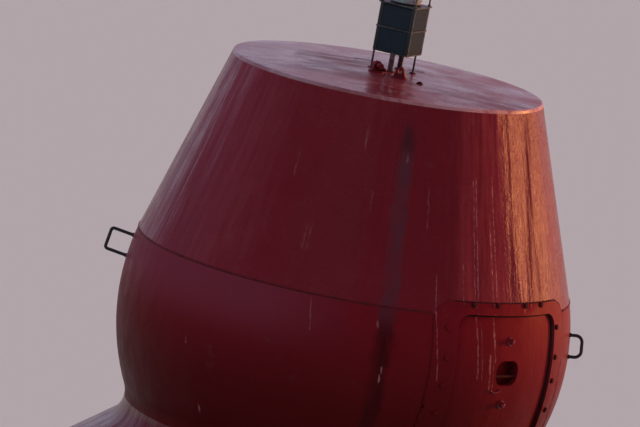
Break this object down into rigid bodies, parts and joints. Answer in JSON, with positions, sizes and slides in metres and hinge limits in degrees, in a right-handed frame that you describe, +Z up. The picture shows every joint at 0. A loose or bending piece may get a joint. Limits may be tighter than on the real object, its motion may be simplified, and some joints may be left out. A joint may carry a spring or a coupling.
{
  "type": "lit can navigation buoy",
  "caption": "Red moulded can buoy with a spherical body, bolted hatch, float collar, skirt keel and a solar lantern.",
  "frame": {"origin": "centre of the skirt's foot, on the ground that the buoy stands on", "axes": "+Z up along the buoy's axis, -Y towards the front, with the hatch at the front right"},
  "size_m": [2.6598, 2.6598, 3.8979],
  "materials": {
    "hull_red": "gloss",
    "skirt_red": "satin",
    "cast_ballast": "matte",
    "black_bar": "satin",
    "galvanised": "matte",
    "stand_steel": "satin",
    "pack_grey": "satin",
    "plate_alloy": "satin",
    "solar": "gloss",
    "lamp_grey": "satin",
    "lens_red": "gloss"
  },
  "bodies": {
    "hull": {"skirt": "skirt_red", "ballast_ring": "cast_ballast", "brackets": "skirt_red", "mooring_lug_left": "skirt_red", "mooring_lug_right": "skirt_red", "float_collar": "hull_red", "lower_shell": "hull_red", "upper_shell": "hull_red", "deck": "hull_red", "seam_strip": "hull_red", "hatch_cover": "hull_red", "hatch_grip": "skirt_red", "handle_left": "black_bar", "handle_right": "black_bar", "lifting_eye_left": "skirt_red", "lifting_eye_right": "skirt_red", "filling_plug": "skirt_red", "leg_left": "stand_steel", "leg_right": "stand_steel", "leg_front": "stand_steel", "leg_back": "stand_steel", "pack_tray": "pack_grey", "pack_core": "pack_grey", "corner_angles": "pack_grey", "panels_low": "solar", "panels_high": "solar", "pack_ledge": "pack_grey", "top_plate": "plate_alloy", "corner_rods": "stand_steel", "lamp_body": "lamp_grey", "lamp_lens": "lens_red", "lamp_cap": "lamp_grey", "bird_spike": "stand_steel"},
    "lifting_shackle": {"lifting_bow": "galvanised", "lifting_pin": "galvanised"},
    "mooring_shackle_left": {"mooring_bow_left": "galvanised", "mooring_pin_left": "galvanised"},
    "mooring_shackle_right": {"mooring_bow_right": "galvanised", "mooring_pin_right": "galvanised"}
  },
  "joints": [
    {"name": "lifting_shackle_swing", "type": "hinge", "parent": "hull", "child": "lifting_shackle", "pos_m": [-0.062, -0.15, 3.28445], "axis": [0.5736, -0.8192, 0], "range_deg": [0, 228]},
    {"name": "mooring_shackle_left_swing", "type": "hinge", "parent": "hull", "child": "mooring_shackle_left", "pos_m": [-0.724, 0, 0.3823], "axis": [0, 1, 0], "range_deg": [-18, 100]},
    {"name": "mooring_shackle_right_swing", "type": "hinge", "parent": "hull", "child": "mooring_shackle_right", "pos_m": [0.724, 0, 0.3823], "axis": [0, -1, 0], "range_deg": [-18, 100]}
  ]
}
